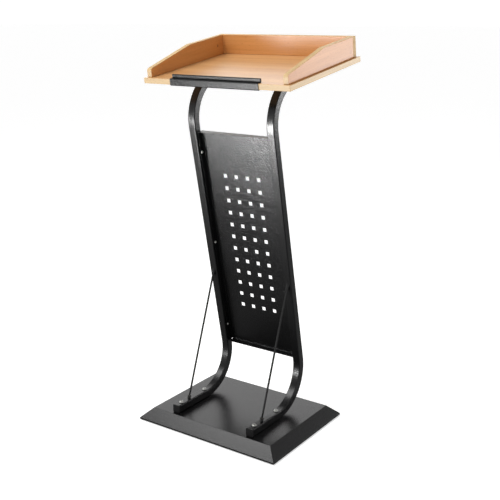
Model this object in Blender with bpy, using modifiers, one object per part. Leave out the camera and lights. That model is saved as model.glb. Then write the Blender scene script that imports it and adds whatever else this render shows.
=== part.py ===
# Lectern stand: a folded steel base, two bent square-tube legs braced by rods,
# a punched front panel and a tilted wooden tray with a folded book stop.
# Metres, +Z up, the front faces -Y, the origin lies on the floor under the middle
# of the whole stand.

import math

import bmesh
import bpy
from mathutils import Matrix, Vector

# Driving dimensions

GAP = 0.0003                     # air between touching pieces

BASE_SIZE = (0.506, 0.388)
BASE_Y = -0.033                  # the base sits forward of the tray's middle
BASE_BOTTOM = 0.002
BASE_TOP = 0.038
BASE_RIM = 0.0052                # upright part of the base's edge
BASE_SLOPE = 0.033               # inset of the flat top
BASE_FLANGE = 0.020              # return flange under the edge
BASE_SHEET = 0.002
PAD_RADIUS = 0.0075
PAD_HEIGHT = 0.0017
PAD_INSET = 0.010

TUBE = 0.025                     # outside of the square tube
TUBE_CORNER = 0.0032
TUBE_WALL = 0.0015
LEG_X = 0.1385
LEG_LEAN = math.radians(12.0)    # forward, going up
LEG_Y = -0.0013                  # leg centre line at LEG_Z
LEG_Z = 0.602
BEND_RADIUS = 0.120
FOOT_FRONT = -0.1810             # front end of the foot run
FOOT_BOLT_YS = (-0.158, -0.0405)
BOLT = 0.004                     # M8 shank radius
BOLT_HEAD = (0.00725, 0.0042)
BOLT_LENGTH = 0.0386
BOLT_SOCKET = (0.0025, 0.0026)   # half across flats, depth
BOLT_NUT = (0.0065, 0.0065)      # half across flats, height
BOLT_WASHER = (0.011, 0.0016)
CAP_PLATE = 0.0024
CAP_PLUG = 0.012

TRAY_TILT = math.radians(8.86)
TRAY_FRONT = (-0.1597, 1.0587)   # y, z of the board's top front edge
BOARD = (0.500, 0.389, 0.016)
FENCE = 0.016                    # thickness of the fences
FENCE_X = 0.241                  # outer face of the side fences
FENCE_BACK = 0.380               # outer face of the back fence
FENCE_START = 0.008
FENCE_FRONT_HEIGHT = 0.025
FENCE_HEIGHT = 0.060
FENCE_BEND = 0.200
TRAY_RUN_END = 0.330             # rear end of the tube under the board

STOP_HALF = 0.151
STOP_SHEET = 0.002
STOP_FLANGE = 0.025
STOP_TOP = 0.012
STOP_HEM = (0.011, 0.016)        # front and back of the doubled upstand

PANEL_HALF = LEG_X - TUBE / 2 - GAP
PANEL_ENDS = (-0.415, 0.307)     # along the leg, from the leg frame
PANEL_FACE = 0.0135              # front of the sheet, behind the leg's centre line
PANEL_LIP = -0.005               # front edge of the folded flanges
PANEL_SHEET = 0.0015
PUNCH = 0.012
PUNCH_PITCH = 0.040
PUNCH_COLUMNS = 4
PUNCH_ROWS = 12
PUNCH_MIDDLE = -0.051
PANEL_SCREW_OFF = -0.0005
PANEL_SCREW_ALONG = (-0.3515, -0.054, 0.2435)

ROD = 0.003                      # radius of the brace rods
BRACE_FOOT_Y = -0.1195           # where the rod meets the foot's top
BRACE_TOP_ALONG = -0.1517        # where it meets the leg, from the leg frame
BRACE_IN_FOOT = 0.009
BRACE_IN_LEG = 0.014
BRACE_BOSS = 0.005               # radius of the seat and of the upper boss
BRACE_SEAT = 0.0045
BRACE_NUT = (0.005, 0.005)       # half across flats, height
BRACE_BOSS_LENGTH = 0.014

TRAY_SCREW_ALONG = (0.215, 0.310)
FENCE_SCREW_ALONG = (0.060, 0.250)
FENCE_SCREW_DEPTH = 0.022
STOP_SCREW_AT = (0.110, 0.016)   # across and behind the board's front edge
CORNER_ALONG = 0.334
CORNER_HEIGHT = 0.0305
CORNER_X = 0.231
DOWEL_RADIUS = 0.0035
DOWEL_LENGTH = 0.012

# Pan-head screws: head radius, head height, shank radius, shank length
PANEL_SCREW = (0.0040, 0.0026, 0.0020, 0.0120)
TRAY_SCREW = (0.0050, 0.0034, 0.0025, 0.0370)
FENCE_SCREW = (0.0042, 0.0027, 0.0022, 0.0383)
STOP_SCREW = (0.0038, 0.0025, 0.0018, 0.0125)
CORNER_SCREW = (0.0042, 0.0026, 0.0025, 0.0500)

# Helpers

for stale in list(bpy.data.objects):
    bpy.data.objects.remove(stale, do_unlink=True)


def collection(name):
    group = bpy.data.collections.new(name)
    bpy.context.scene.collection.children.link(group)
    return group


PARTS = collection("lectern_stand")
CUTTERS = collection("cutters")


def material(name, colour, roughness, metallic=0.0):
    finish = bpy.data.materials.new(name)
    finish.use_nodes = True
    shader = finish.node_tree.nodes["Principled BSDF"]
    shader.inputs["Base Color"].default_value = (*colour, 1.0)
    shader.inputs["Roughness"].default_value = roughness
    shader.inputs["Metallic"].default_value = metallic
    return finish


def frame(name, location, tilt):
    empty = bpy.data.objects.new(name, None)
    empty.location = location
    empty.rotation_euler = (tilt, 0.0, 0.0)
    PARTS.objects.link(empty)
    return empty


def place(name, mesh, finish, parent=None, location=(0, 0, 0), rotation=(0, 0, 0)):
    part = bpy.data.objects.new(name, mesh)
    PARTS.objects.link(part)
    part.parent = parent
    part.location = location
    part.rotation_euler = rotation
    if finish.name not in mesh.materials:
        mesh.materials.append(finish)
    return part


def shade(mesh, angle=40):
    mesh.shade_smooth()
    mesh.set_sharp_from_angle(angle=math.radians(angle))


def write_mesh(name, bm):
    mesh = bpy.data.meshes.new(name)
    bm.to_mesh(mesh)
    bm.free()
    return mesh


def add_box(bm, low, high, turn=Matrix.Identity(4)):
    low, high = Vector(low), Vector(high)
    size = Matrix.Diagonal((*(high - low), 1.0))
    matrix = turn @ Matrix.Translation((low + high) / 2) @ size
    return bmesh.ops.create_cube(bm, size=1.0, matrix=matrix)["verts"]


def add_cylinder(bm, start, end, radius, sides=12):
    start, end = Vector(start), Vector(end)
    axis = end - start
    turn = Vector((0, 0, 1)).rotation_difference(axis).to_matrix().to_4x4()
    matrix = Matrix.Translation((start + end) / 2) @ turn
    bmesh.ops.create_cone(bm, cap_ends=True, segments=sides, radius1=radius,
                          radius2=radius, depth=axis.length, matrix=matrix)


def cut(part, name, boxes=(), cylinders=()):
    # The cutter is drawn in the part's own frame and placed like the part.
    bm = bmesh.new()
    for box in boxes:
        add_box(bm, *box)
    for cylinder in cylinders:
        add_cylinder(bm, *cylinder)
    tool = bpy.data.objects.new(name, write_mesh(name, bm))
    CUTTERS.objects.link(tool)
    tool.parent = part.parent
    tool.location = part.location
    tool.rotation_euler = part.rotation_euler
    tool.hide_render = True
    tool.display_type = 'WIRE'
    holes = part.modifiers.new(name, 'BOOLEAN')
    holes.operation = 'DIFFERENCE'
    holes.solver = 'EXACT'
    holes.object = tool


def soften(part, width, segments=2, angle=50):
    bevel = part.modifiers.new("edges", 'BEVEL')
    bevel.width = width
    bevel.segments = segments
    bevel.limit_method = 'ANGLE'
    bevel.angle_limit = math.radians(angle)


def rounded(corners, step=30):
    # Each corner is (u, v, radius); a radius becomes an arc tangent to both sides.
    points = []
    for index, (u, v, radius) in enumerate(corners):
        here = Vector((u, v))
        if radius == 0:
            points.append(here)
            continue
        before = Vector(corners[index - 1][:2])
        after = Vector(corners[(index + 1) % len(corners)][:2])
        back = (before - here).normalized()
        ahead = (after - here).normalized()
        between = back.angle(ahead)
        centre = here + (back + ahead).normalized() * radius / math.sin(between / 2)
        spoke = here + back * radius / math.tan(between / 2) - centre
        turn = math.copysign(math.pi - between, ahead.cross(back))
        count = max(2, round(abs(math.degrees(turn)) / step))
        for k in range(count + 1):
            points.append(centre + Matrix.Rotation(turn * k / count, 2) @ spoke)
    return points


def outline_curve(name, points):
    curve = bpy.data.curves.new(name, 'CURVE')
    curve.dimensions = '2D'
    curve.fill_mode = 'BOTH'
    spline = curve.splines.new('POLY')
    spline.points.add(len(points) - 1)
    spline.use_cyclic_u = True
    for point, (u, v) in zip(spline.points, points):
        point.co = (u, v, 0.0, 1.0)
    return curve


def settled(name, source):
    # The evaluated shape of a temporary object, welded, as a mesh of its own.
    graph = bpy.context.evaluated_depsgraph_get()
    mesh = bpy.data.meshes.new_from_object(source.evaluated_get(graph))
    mesh.name = name
    bm = bmesh.new()
    bm.from_mesh(mesh)
    bmesh.ops.remove_doubles(bm, verts=bm.verts, dist=0.00005)
    bmesh.ops.recalc_face_normals(bm, faces=bm.faces)
    bm.to_mesh(mesh)
    bm.free()
    bpy.data.objects.remove(source, do_unlink=True)
    return mesh


def temporary(data):
    source = bpy.data.objects.new("temporary", data)
    CUTTERS.objects.link(source)
    return source


def plate(name, points, low, high):
    # An outline in the YZ plane, given thickness along X from low to high.
    curve = outline_curve(name, points)
    curve.extrude = (high - low) / 2
    mesh = settled(name, temporary(curve))
    to_yz = Matrix(((0, 0, 1, 0), (1, 0, 0, 0), (0, 1, 0, 0), (0, 0, 0, 1)))
    mesh.transform(Matrix.Translation(((low + high) / 2, 0, 0)) @ to_yz)
    return mesh


def turned(name, profile, steps=12, ring=False):
    # The profile runs down the outer side; a ring's profile closes on itself.
    bm = bmesh.new()
    verts = [bm.verts.new((radius, 0.0, z)) for radius, z in profile]
    for upper, lower in zip(verts, verts[1:]):
        bm.edges.new((upper, lower))
    if ring:
        bm.edges.new((verts[-1], verts[0]))
    source = temporary(write_mesh(name, bm))
    screw = source.modifiers.new("turn", 'SCREW')
    screw.steps = steps
    screw.render_steps = steps
    screw.use_merge_vertices = True
    screw.merge_threshold = 0.00001
    return settled(name, source)


def pan_screw(name, head, height, shank, length, steps=12):
    # Origin under the head, shank down the local Z.
    profile = [(0.0, height), (head * 0.62, height), (head, height * 0.45), (head, 0.0),
               (shank, 0.0), (shank, -length), (0.0, -length)]
    mesh = turned(name, profile, steps)
    shade(mesh)
    return mesh


# Where things lie

FLOOR_OF_FOOT = BASE_TOP + GAP
FOOT_Z = FLOOR_OF_FOOT + TUBE / 2
FOOT_TOP = FLOOR_OF_FOOT + TUBE
UNDER_BOARD = -BOARD[2] - GAP
RUN_H = UNDER_BOARD - TUBE / 2
RUN_UNDER = UNDER_BOARD - TUBE

TRAY_FRAME = Matrix.Translation((0, *TRAY_FRONT)) @ Matrix.Rotation(TRAY_TILT, 4, 'X')
LEG_FRAME = Matrix.Translation((0, LEG_Y, LEG_Z)) @ Matrix.Rotation(LEG_LEAN, 4, 'X')

BRACE_LOW = Vector((0, BRACE_FOOT_Y, FOOT_TOP))
BRACE_HIGH = LEG_FRAME @ Vector((0, -TUBE / 2, BRACE_TOP_ALONG))
BRACE_SPAN = (BRACE_HIGH - BRACE_LOW).length
BRACE_TILT = -math.atan2(BRACE_HIGH.y - BRACE_LOW.y, BRACE_HIGH.z - BRACE_LOW.z)

tray_frame = frame("tray_frame", (0, *TRAY_FRONT), TRAY_TILT)
leg_frame = frame("leg_frame", (0, LEG_Y, LEG_Z), LEG_LEAN)
brace_frame = frame("brace_frame", BRACE_LOW, BRACE_TILT)

BLACK = material("black_powder_coat", (0.022, 0.022, 0.024), 0.42)
BLACK_SHEET = material("black_sheet", (0.028, 0.028, 0.030), 0.45)
BEECH = material("beech", (0.60, 0.36, 0.19), 0.50)
ZINC = material("zinc_steel", (0.62, 0.62, 0.60), 0.30, 1.0)
DARK_STEEL = material("dark_steel", (0.05, 0.05, 0.055), 0.40, 0.6)
RUBBER = material("rubber", (0.02, 0.02, 0.02), 0.85)
PLASTIC = material("black_plastic", (0.025, 0.025, 0.027), 0.50)

SIDES = (("left", -1), ("right", 1))


# Base

def make_base():
    # Flat top first, then its boundary is drawn out ring by ring: slope, rim, flange.
    rings = ((BASE_SLOPE, BASE_TOP), (0.0, BASE_BOTTOM + BASE_RIM),
             (0.0, BASE_BOTTOM), (BASE_FLANGE, BASE_BOTTOM))
    bm = bmesh.new()
    bmesh.ops.create_grid(bm, x_segments=1, y_segments=1, size=1.0)
    verts, edges, folds = bm.verts[:], bm.edges[:], []
    for index, (inset, z) in enumerate(rings):
        if index:
            drawn = bmesh.ops.extrude_edge_only(bm, edges=edges)["geom"]
            verts = [item for item in drawn if isinstance(item, bmesh.types.BMVert)]
            edges = [item for item in drawn if isinstance(item, bmesh.types.BMEdge)]
        for vert in verts:
            vert.co.x = math.copysign(BASE_SIZE[0] / 2 - inset, vert.co.x)
            vert.co.y = math.copysign(BASE_SIZE[1] / 2 - inset, vert.co.y)
            vert.co.z = z
        if index < len(rings) - 1:
            folds += edges
    bmesh.ops.bevel(bm, geom=folds, offset=BASE_SHEET * 1.2, segments=2,
                    affect='EDGES', profile=0.5)
    bmesh.ops.recalc_face_normals(bm, faces=bm.faces)
    highest = max(bm.faces, key=lambda face: face.calc_center_median().z)
    if highest.normal.z < 0:
        bmesh.ops.reverse_faces(bm, faces=bm.faces)
    cover = place("base_cover", write_mesh("base_cover", bm), BLACK,
                  location=(0, BASE_Y, 0))
    add_sheet(cover, BASE_SHEET)
    bolts = [(x * LEG_X, y - BASE_Y) for _, x in SIDES for y in FOOT_BOLT_YS]
    cut(cover, "base_bolt_holes", cylinders=[
        ((x, y, BASE_TOP - 0.01), (x, y, BASE_TOP + 0.01), BOLT + GAP) for x, y in bolts])


def make_pads():
    pad = turned("rubber_foot", [(0, PAD_HEIGHT), (PAD_RADIUS - 0.0005, PAD_HEIGHT),
                                 (PAD_RADIUS, PAD_HEIGHT - 0.0005), (PAD_RADIUS, 0), (0, 0)], 16)
    shade(pad)
    for side, x in SIDES:
        for end, y in (("front", -1), ("back", 1)):
            spot = (x * (BASE_SIZE[0] / 2 - PAD_INSET),
                    BASE_Y + y * (BASE_SIZE[1] / 2 - PAD_INSET), 0)
            place(f"rubber_foot_{end}_{side}", pad, RUBBER, location=spot)


# Legs

def meet(point, direction, other, heading):
    # Where two lines in the YZ plane cross.
    along = (other - point).cross(heading) / direction.cross(heading)
    return point + direction * along


def leg_route():
    # Foot run, leaning run and tray run, joined by two bends of one radius.
    foot = Vector((FOOT_FRONT, FOOT_Z))
    post = Vector((LEG_Y, LEG_Z))
    rise = Vector((-math.sin(LEG_LEAN), math.cos(LEG_LEAN)))
    along = Vector((math.cos(TRAY_TILT), math.sin(TRAY_TILT)))
    tray = (TRAY_FRAME @ Vector((0, TRAY_RUN_END, RUN_H))).yz
    low = meet(post, rise, foot, Vector((1, 0)))
    high = meet(post, rise, tray, along)
    return rounded([(*foot, 0), (*low, BEND_RADIUS), (*high, BEND_RADIUS), (*tray, 0)],
                   step=8.5)


def tube_skin(name, points):
    # A rounded square carried along a route in the YZ plane, open at both ends.
    half = TUBE / 2
    square = rounded([(-half, -half, TUBE_CORNER), (half, -half, TUBE_CORNER),
                      (half, half, TUBE_CORNER), (-half, half, TUBE_CORNER)], step=45)
    section = bpy.data.objects.new("section", outline_curve("section", square))
    CUTTERS.objects.link(section)
    route = bpy.data.curves.new("route", 'CURVE')
    route.dimensions = '3D'
    route.twist_mode = 'MINIMUM'
    spline = route.splines.new('POLY')
    spline.points.add(len(points) - 1)
    for point, (y, z) in zip(spline.points, points):
        point.co = (0.0, y, z, 1.0)
    route.bevel_mode = 'OBJECT'
    route.bevel_object = section
    mesh = settled(name, temporary(route))
    bpy.data.objects.remove(section, do_unlink=True)
    return mesh


def add_sheet(part, thickness):
    # The surface is the outside; the metal lies inward of it.
    sheet = part.modifiers.new("sheet", 'SOLIDIFY')
    sheet.thickness = thickness
    sheet.offset = -1.0
    sheet.use_even_offset = True


def make_legs():
    for side, x in SIDES:
        name = f"leg_{side}"
        leg = place(name, tube_skin(name, leg_route()), BLACK, location=(x * LEG_X, 0, 0))
        shade(leg.data)
        add_sheet(leg, TUBE_WALL)
        cut(leg, f"leg_holes_{side}", cylinders=leg_holes(x))


def leg_holes(x):
    # In the leg's own frame, whose X is zero on the tube's centre line.
    below, above = FLOOR_OF_FOOT - 0.01, FOOT_TOP + 0.01
    holes = [((0, y, below), (0, y, above), BOLT + GAP) for y in FOOT_BOLT_YS]
    up = (BRACE_HIGH - BRACE_LOW).normalized()
    holes.append((BRACE_LOW - up * 0.012, BRACE_LOW + up * 0.006, ROD + GAP))
    holes.append((BRACE_HIGH - up * 0.012, BRACE_HIGH + up * 0.018, ROD + GAP))
    for along in PANEL_SCREW_ALONG:
        start = LEG_FRAME @ Vector((-x * TUBE, PANEL_SCREW_OFF, along))
        end = LEG_FRAME @ Vector((-x * TUBE / 4, PANEL_SCREW_OFF, along))
        holes.append((start, end, PANEL_SCREW[2] + GAP))
    for along in TRAY_SCREW_ALONG:
        start = TRAY_FRAME @ Vector((0, along, RUN_UNDER - 0.01))
        end = TRAY_FRAME @ Vector((0, along, UNDER_BOARD + 0.01))
        holes.append((start, end, TRAY_SCREW[2] + GAP))
    return holes


def cap_mesh():
    # The plate faces local -Y; a plug behind it fills the tube's bore.
    half = TUBE / 2
    bm = bmesh.new()
    add_box(bm, (-half, 0, -half), (half, CAP_PLATE, half))
    long_edges = [edge for edge in bm.edges
                  if abs(edge.verts[0].co.y - edge.verts[1].co.y) > CAP_PLATE / 2]
    bmesh.ops.bevel(bm, geom=long_edges, offset=TUBE_CORNER, segments=3,
                    affect='EDGES', profile=0.5)
    front = min(bm.faces, key=lambda face: face.calc_center_median().y)
    bmesh.ops.bevel(bm, geom=front.edges[:], offset=0.0008, segments=1, affect='EDGES')
    back = max(bm.faces, key=lambda face: face.calc_center_median().y)
    bmesh.ops.inset_region(bm, faces=[back], thickness=TUBE_WALL + GAP)
    drawn = bmesh.ops.extrude_face_region(bm, geom=[back])["geom"]
    for vert in drawn:
        if isinstance(vert, bmesh.types.BMVert):
            vert.co.y += CAP_PLUG
    bmesh.ops.delete(bm, geom=[back], context='FACES_ONLY')
    bmesh.ops.recalc_face_normals(bm, faces=bm.faces)
    mesh = write_mesh("tube_cap", bm)
    shade(mesh)
    return mesh


def make_caps():
    cap = cap_mesh()
    for side, x in SIDES:
        place(f"foot_cap_{side}", cap, PLASTIC,
              location=(x * LEG_X, FOOT_FRONT - GAP - CAP_PLATE, FOOT_Z))
        place(f"top_cap_{side}", cap, PLASTIC, tray_frame,
              (x * LEG_X, TRAY_RUN_END + GAP + CAP_PLATE, RUN_H), (0, 0, math.pi))


# Foot fasteners

def nut_mesh(name, half_flats, height, bore):
    # Origin in the middle of the lower face.
    bm = bmesh.new()
    add_cylinder(bm, (0, 0, 0), (0, 0, height), half_flats / math.cos(math.pi / 6), 6)
    source = temporary(write_mesh(name, bm))
    cut(source, name + "_bore", cylinders=[((0, 0, -height), (0, 0, 2 * height), bore)])
    tool = source.modifiers[0].object
    mesh = settled(name, source)
    bpy.data.objects.remove(tool, do_unlink=True)
    return mesh


def bolt_mesh():
    # A low domed head with a hexagon socket; origin under the head.
    radius, height = BOLT_HEAD
    flat = radius * 0.48
    dome = [(flat + (radius - flat) * math.sin(math.radians(angle)),
             height * (0.22 + 0.78 * math.cos(math.radians(angle))))
            for angle in (0, 30, 60, 90)]
    profile = [(0, height), *dome, (radius, 0), (BOLT, 0), (BOLT, -BOLT_LENGTH),
               (0, -BOLT_LENGTH)]
    source = temporary(turned("foot_bolt", profile, 16))
    half_flats, depth = BOLT_SOCKET
    cut(source, "socket", cylinders=[
        ((0, 0, height - depth), (0, 0, height * 2), half_flats / math.cos(math.pi / 6), 6)])
    tool = source.modifiers[0].object
    mesh = settled("foot_bolt", source)
    bpy.data.objects.remove(tool, do_unlink=True)
    shade(mesh)
    return mesh


def make_foot_fasteners():
    bolt = bolt_mesh()
    nut = nut_mesh("foot_nut", BOLT_NUT[0], BOLT_NUT[1], BOLT + GAP)
    wide, thick = BOLT_WASHER
    bore = BOLT + GAP
    washer = turned("foot_washer", [(bore, thick), (wide, thick), (wide, 0), (bore, 0)],
                    16, ring=True)
    shade(washer)
    washer_z = BASE_TOP - BASE_SHEET - GAP - thick
    for side, x in SIDES:
        for end, y in zip(("front", "rear"), FOOT_BOLT_YS):
            tag = f"{end}_{side}"
            place(f"foot_bolt_{tag}", bolt, ZINC, location=(x * LEG_X, y, FOOT_TOP + GAP))
            place(f"foot_washer_{tag}", washer, ZINC, location=(x * LEG_X, y, washer_z))
            place(f"foot_nut_{tag}", nut, ZINC,
                  location=(x * LEG_X, y, washer_z - GAP - BOLT_NUT[1]))


# Brace rods

def make_braces():
    # In the brace frame local Z runs up the rod from the foot's top face.
    hole = ROD + GAP
    for side, x in SIDES:
        spot = (x * LEG_X, 0, 0)
        bm = bmesh.new()
        add_cylinder(bm, (0, 0, -BRACE_IN_FOOT), (0, 0, BRACE_SPAN + BRACE_IN_LEG), ROD)
        rod = place(f"brace_rod_{side}", write_mesh("brace_rod", bm), BLACK, brace_frame, spot)
        shade(rod.data)

        bm = bmesh.new()
        add_cylinder(bm, (0, 0, -BRACE_BOSS), (0, 0, BRACE_SEAT), BRACE_BOSS)
        seat = place(f"brace_seat_{side}", write_mesh("brace_seat", bm), BLACK,
                     brace_frame, spot)
        shade(seat.data)
        level = Matrix.Rotation(-BRACE_TILT, 4, 'X')
        cut(seat, f"seat_level_{side}",
            boxes=[((-0.02, -0.02, -0.03), (0.02, 0.02, GAP), level)])
        cut(seat, f"seat_hole_{side}", cylinders=[((0, 0, -0.02), (0, 0, 0.02), hole)])

        bm = bmesh.new()
        add_cylinder(bm, (0, 0, BRACE_SPAN - BRACE_BOSS_LENGTH),
                     (0, 0, BRACE_SPAN + BRACE_BOSS_LENGTH), BRACE_BOSS)
        boss = place(f"brace_top_boss_{side}", write_mesh("brace_top_boss", bm), BLACK,
                     brace_frame, spot)
        shade(boss.data)
        upright = (Matrix.Translation((0, 0, BRACE_SPAN))
                   @ Matrix.Rotation(LEG_LEAN - BRACE_TILT, 4, 'X'))
        cut(boss, f"boss_face_{side}",
            boxes=[((-0.02, -GAP, -0.05), (0.02, 0.05, 0.05), upright)])
        cut(boss, f"boss_hole_{side}",
            cylinders=[((0, 0, BRACE_SPAN - 0.03), (0, 0, BRACE_SPAN + 0.03), hole)])

    nut = nut_mesh("brace_nut", BRACE_NUT[0], BRACE_NUT[1], hole)
    for side, x in SIDES:
        place(f"brace_nut_{side}", nut, DARK_STEEL, brace_frame,
              (x * LEG_X, 0, BRACE_SEAT + GAP))


# Front panel

def make_panel():
    # A shallow pan open to the front, its flanges standing between the legs.
    bm = bmesh.new()
    back = PANEL_FACE + PANEL_SHEET
    add_box(bm, (-PANEL_HALF, PANEL_LIP, PANEL_ENDS[0]), (PANEL_HALF, back, PANEL_ENDS[1]))
    mouth = min(bm.faces, key=lambda face: face.calc_center_median().y)
    bmesh.ops.delete(bm, geom=[mouth], context='FACES_ONLY')
    folds = max(bm.faces, key=lambda face: face.calc_center_median().y).edges[:]
    bmesh.ops.bevel(bm, geom=folds, offset=PANEL_SHEET * 1.4, segments=2,
                    affect='EDGES', profile=0.5)
    panel = place("front_panel", write_mesh("front_panel", bm), BLACK_SHEET, leg_frame)
    add_sheet(panel, PANEL_SHEET)
    half = PUNCH / 2
    punches = []
    for row in range(PUNCH_ROWS):
        z = PUNCH_MIDDLE + (row - (PUNCH_ROWS - 1) / 2) * PUNCH_PITCH
        for column in range(PUNCH_COLUMNS):
            x = (column - (PUNCH_COLUMNS - 1) / 2) * PUNCH_PITCH
            punches.append(((x - half, PANEL_FACE - 0.003, z - half),
                            (x + half, PANEL_FACE + 0.005, z + half)))
    cut(panel, "panel_punches", boxes=punches)
    inner = PANEL_HALF - 0.01
    cut(panel, "panel_screw_holes", cylinders=[
        ((x * inner, PANEL_SCREW_OFF, along), (x * LEG_X, PANEL_SCREW_OFF, along),
         PANEL_SCREW[2] + GAP)
        for _, x in SIDES for along in PANEL_SCREW_ALONG])

    screw = pan_screw("panel_screw", *PANEL_SCREW)
    head_at = PANEL_HALF - PANEL_SHEET - GAP
    for side, x in SIDES:
        for level, along in zip(("low", "mid", "high"), PANEL_SCREW_ALONG):
            place(f"panel_screw_{level}_{side}", screw, ZINC, leg_frame,
                  (x * head_at, PANEL_SCREW_OFF, along), (0, -x * math.pi / 2, 0))


# Tray

def make_board():
    width, depth, thick = BOARD
    bm = bmesh.new()
    add_box(bm, (-width / 2, 0, -thick), (width / 2, depth, 0))
    board = place("tray_board", write_mesh("tray_board", bm), BEECH, tray_frame)
    soften(board, 0.001)
    blind = -0.004
    holes = [((x * LEG_X, along, -0.02), (x * LEG_X, along, blind), TRAY_SCREW[2] + GAP)
             for _, x in SIDES for along in TRAY_SCREW_ALONG]
    holes += [((x * STOP_SCREW_AT[0], STOP_SCREW_AT[1], -0.02),
               (x * STOP_SCREW_AT[0], STOP_SCREW_AT[1], blind), STOP_SCREW[2] + GAP)
              for _, x in SIDES]
    holes += [((x * (FENCE_X - FENCE / 2), along, -0.02),
               (x * (FENCE_X - FENCE / 2), along, 0.01), FENCE_SCREW[2] + GAP)
              for _, x in SIDES for along in FENCE_SCREW_ALONG]
    cut(board, "board_holes", cylinders=holes)


def make_fences():
    front_of_back = FENCE_BACK - FENCE
    side_outline = rounded([(FENCE_START, GAP, 0), (front_of_back - GAP, GAP, 0),
                            (front_of_back - GAP, FENCE_HEIGHT, 0),
                            (FENCE_BEND, FENCE_HEIGHT, 0.025),
                            (FENCE_START, FENCE_FRONT_HEIGHT, 0.009)], step=22)
    for side, x in SIDES:
        low, high = sorted((x * FENCE_X, x * (FENCE_X - FENCE)))
        fence = place(f"side_fence_{side}", plate("side_fence", side_outline, low, high),
                      BEECH, tray_frame)
        soften(fence, 0.0008, 1)
        middle = x * (FENCE_X - FENCE / 2)
        cut(fence, f"fence_pilots_{side}", cylinders=[
            ((middle, along, -0.01), (middle, along, FENCE_SCREW_DEPTH + 0.0005),
             FENCE_SCREW[2] + GAP) for along in FENCE_SCREW_ALONG])
        inner = x * (FENCE_X - FENCE)
        cut(fence, f"dowel_seat_{side}", cylinders=[
            ((inner - x * 0.01, CORNER_ALONG, CORNER_HEIGHT),
             (inner + x * (DOWEL_LENGTH + GAP), CORNER_ALONG, CORNER_HEIGHT),
             DOWEL_RADIUS + GAP)])
        cut(fence, f"corner_bore_{side}", cylinders=[
            ((x * CORNER_X, CORNER_ALONG - 0.006, CORNER_HEIGHT),
             (x * CORNER_X, FENCE_BACK, CORNER_HEIGHT), CORNER_SCREW[2] + GAP)])

    bm = bmesh.new()
    add_box(bm, (-FENCE_X, front_of_back, GAP), (FENCE_X, FENCE_BACK, FENCE_HEIGHT))
    back = place("back_fence", write_mesh("back_fence", bm), BEECH, tray_frame)
    soften(back, 0.0008, 1)
    cut(back, "back_fence_holes", cylinders=[
        ((x * CORNER_X, front_of_back - 0.01, CORNER_HEIGHT),
         (x * CORNER_X, FENCE_BACK + 0.01, CORNER_HEIGHT), CORNER_SCREW[2] + GAP)
        for _, x in SIDES])


def make_corner_fittings():
    # A cross dowel in each side fence takes a screw through the back fence.
    screw = pan_screw("corner_screw", *CORNER_SCREW)
    for side, x in SIDES:
        inner = x * (FENCE_X - FENCE)
        bm = bmesh.new()
        add_cylinder(bm, (inner, CORNER_ALONG, CORNER_HEIGHT),
                     (inner + x * DOWEL_LENGTH, CORNER_ALONG, CORNER_HEIGHT),
                     DOWEL_RADIUS, 16)
        dowel = place(f"corner_dowel_{side}", write_mesh("corner_dowel", bm), DARK_STEEL,
                      tray_frame)
        shade(dowel.data)
        reach = 2 * DOWEL_RADIUS
        slot = sorted((inner - x * 0.001, inner + x * 0.001))
        cut(dowel, f"dowel_slot_{side}", boxes=[
            ((slot[0], CORNER_ALONG - reach, CORNER_HEIGHT - 0.0006),
             (slot[1], CORNER_ALONG + reach, CORNER_HEIGHT + 0.0006))])
        cut(dowel, f"dowel_hole_{side}", cylinders=[
            ((x * CORNER_X, CORNER_ALONG - reach, CORNER_HEIGHT),
             (x * CORNER_X, CORNER_ALONG + reach, CORNER_HEIGHT), CORNER_SCREW[2] + GAP)])
        place(f"corner_screw_{side}", screw, ZINC, tray_frame,
              (x * CORNER_X, FENCE_BACK + GAP, CORNER_HEIGHT), (-math.pi / 2, 0, 0))


def make_tray_screws():
    tray = pan_screw("tray_screw", *TRAY_SCREW)
    fence = pan_screw("fence_screw", *FENCE_SCREW)
    upside_down = (math.pi, 0, 0)
    for side, x in SIDES:
        for end, along in zip(("front", "rear"), TRAY_SCREW_ALONG):
            place(f"tray_screw_{end}_{side}", tray, ZINC, tray_frame,
                  (x * LEG_X, along, RUN_UNDER - GAP), upside_down)
        for end, along in zip(("front", "rear"), FENCE_SCREW_ALONG):
            place(f"fence_screw_{end}_{side}", fence, ZINC, tray_frame,
                  (x * (FENCE_X - FENCE / 2), along, UNDER_BOARD), upside_down)


# Book stop

def make_book_stop():
    # One folded strip: a flange under the board, a plate over its front edge, a
    # narrow ledge on top and a doubled upstand.
    sheet, bend, crease = STOP_SHEET, 0.003, 0.0004
    back, front = -GAP, -GAP - sheet
    floor, ledge = UNDER_BOARD, GAP
    hem_front, hem_back = STOP_HEM
    outline = rounded([
        (STOP_FLANGE, floor, 0), (back, floor, crease), (back, ledge, crease),
        (hem_back, ledge, bend), (hem_back, STOP_TOP, 0.0024),
        (hem_front, STOP_TOP, 0.0024), (hem_front, ledge + sheet, crease),
        (front, ledge + sheet, bend), (front, floor - sheet, bend),
        (STOP_FLANGE, floor - sheet, 0)])
    stop = place("book_stop", plate("book_stop", outline, -STOP_HALF, STOP_HALF),
                 BLACK, tray_frame)
    shade(stop.data)
    across, along = STOP_SCREW_AT
    under = UNDER_BOARD - sheet
    cut(stop, "stop_holes", cylinders=[
        ((x * across, along, under - 0.004), (x * across, along, floor + 0.004),
         STOP_SCREW[2] + GAP) for _, x in SIDES])
    screw = pan_screw("stop_screw", *STOP_SCREW)
    for side, x in SIDES:
        place(f"stop_screw_{side}", screw, ZINC, tray_frame,
              (x * across, along, under - GAP), (math.pi, 0, 0))


make_base()
make_pads()
make_legs()
make_caps()
make_foot_fasteners()
make_braces()
make_panel()
make_board()
make_fences()
make_corner_fittings()
make_tray_screws()
make_book_stop()
bpy.context.view_layer.update()
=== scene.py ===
import math

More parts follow.
